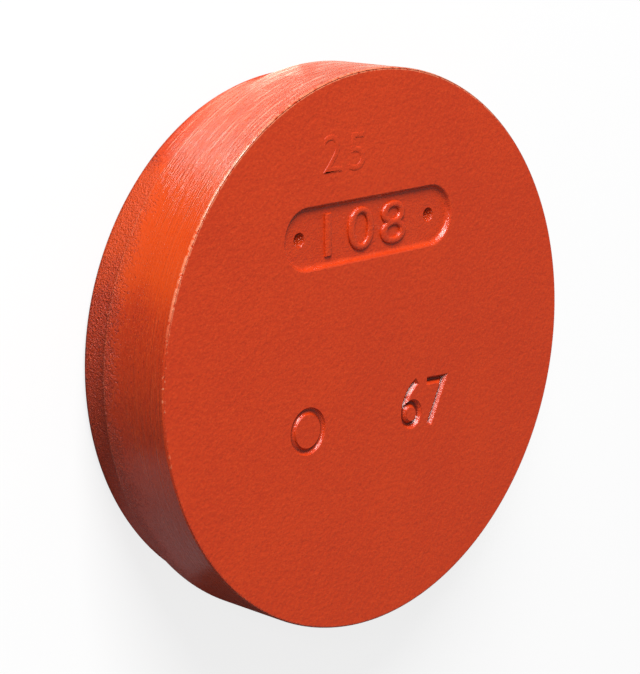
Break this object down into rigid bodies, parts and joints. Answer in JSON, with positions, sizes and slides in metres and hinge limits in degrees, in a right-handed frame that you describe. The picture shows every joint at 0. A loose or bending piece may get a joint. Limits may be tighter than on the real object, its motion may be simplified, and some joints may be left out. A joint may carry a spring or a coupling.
{
  "type": "grooved pipe cap",
  "caption": "Round cast iron end cap for grooved pipe, painted orange-red, with a ground sealing land, a stepped boss for the coupling key and a hollow back.",
  "frame": {"origin": "centre of the circle that the back rim rests on", "axes": "+Z along the cap's axis towards the flat marked face, +X along the long sunk panel in that face, +Y from the face's centre towards the panel"},
  "size_m": [0.108, 0.108, 0.0254],
  "materials": {
    "orange_paint": "satin"
  },
  "bodies": {
    "root": {"cap_body": "orange_paint"}
  },
  "joints": []
}
